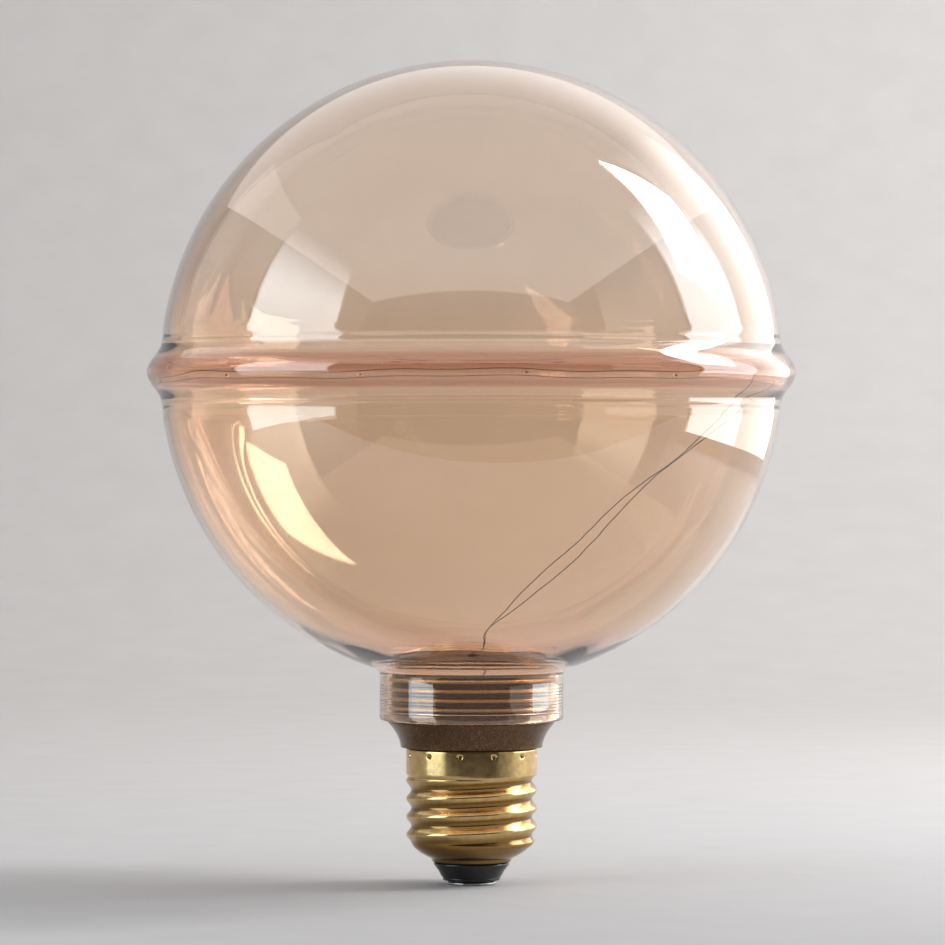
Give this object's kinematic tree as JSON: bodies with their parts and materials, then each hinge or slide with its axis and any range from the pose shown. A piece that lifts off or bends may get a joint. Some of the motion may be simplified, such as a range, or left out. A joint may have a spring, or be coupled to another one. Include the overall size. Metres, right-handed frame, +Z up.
{
  "type": "smart light bulb",
  "caption": "Large round smart lamp with a clear lustre glass globe, a hollow ring bead at its equator, a fine-wire light string, a bronze neck and a brass E27 screw cap.",
  "frame": {"origin": "middle of the centre contact's lower face", "axes": "+Z up along the lamp's axis, from the cap to the globe; -Y is the side the picture was taken from"},
  "size_m": [0.1302, 0.1302, 0.1652],
  "materials": {
    "lustre_glass": "clear blown glass with a pale amber and rose lustre",
    "bronze_plastic": "fine metallic bronze, satin",
    "taupe_plastic": "satin",
    "brass": "satin brass, bright on the thread crests",
    "black_insulator": "gloss",
    "tinned_metal": "tinned, dull bright",
    "clear_glue": "clear cured glue",
    "dark_rubber": "matt",
    "enamelled_copper": "enamelled copper wire, dark",
    "led_resin": "clear resin drop",
    "green_board": "solder mask",
    "blue_board": "solder mask",
    "dark_sleeve": "shrink sleeve",
    "chip_black": "moulded",
    "ferrite": "matt ferrite",
    "resistor_green": "lacquered",
    "white_ceramic": "satin white",
    "red_sleeve": "wire sleeve",
    "black_sleeve": "wire sleeve"
  },
  "bodies": {
    "root": {"glass_globe": "lustre_glass", "neck_holder": "bronze_plastic", "neck_glue": "clear_glue", "top_cover": "taupe_plastic", "wire_bush": "dark_rubber", "screw_shell": "brass", "cap_insulator": "black_insulator", "centre_contact": "tinned_metal", "live_lead": "red_sleeve", "fusible_resistor": "resistor_green", "resistor_link": "tinned_metal", "neutral_lead": "black_sleeve", "driver_board": "green_board", "input_capacitor": "dark_sleeve", "output_capacitor": "dark_sleeve", "bridge_rectifier": "chip_black", "driver_chip": "chip_black", "inductor_core": "ferrite", "inductor_winding": "enamelled_copper", "radio_board": "blue_board", "radio_shield": "tinned_metal", "chip_antenna": "white_ceramic", "radio_header": "chip_black", "string_terminal": "white_ceramic", "string_wire_supply": "enamelled_copper", "string_wire_return": "enamelled_copper", "micro_led_01": "led_resin", "micro_led_02": "led_resin", "micro_led_03": "led_resin", "micro_led_04": "led_resin", "micro_led_05": "led_resin", "micro_led_06": "led_resin", "micro_led_07": "led_resin", "micro_led_08": "led_resin", "micro_led_09": "led_resin", "micro_led_10": "led_resin", "micro_led_11": "led_resin", "micro_led_12": "led_resin"}
  },
  "joints": []
}
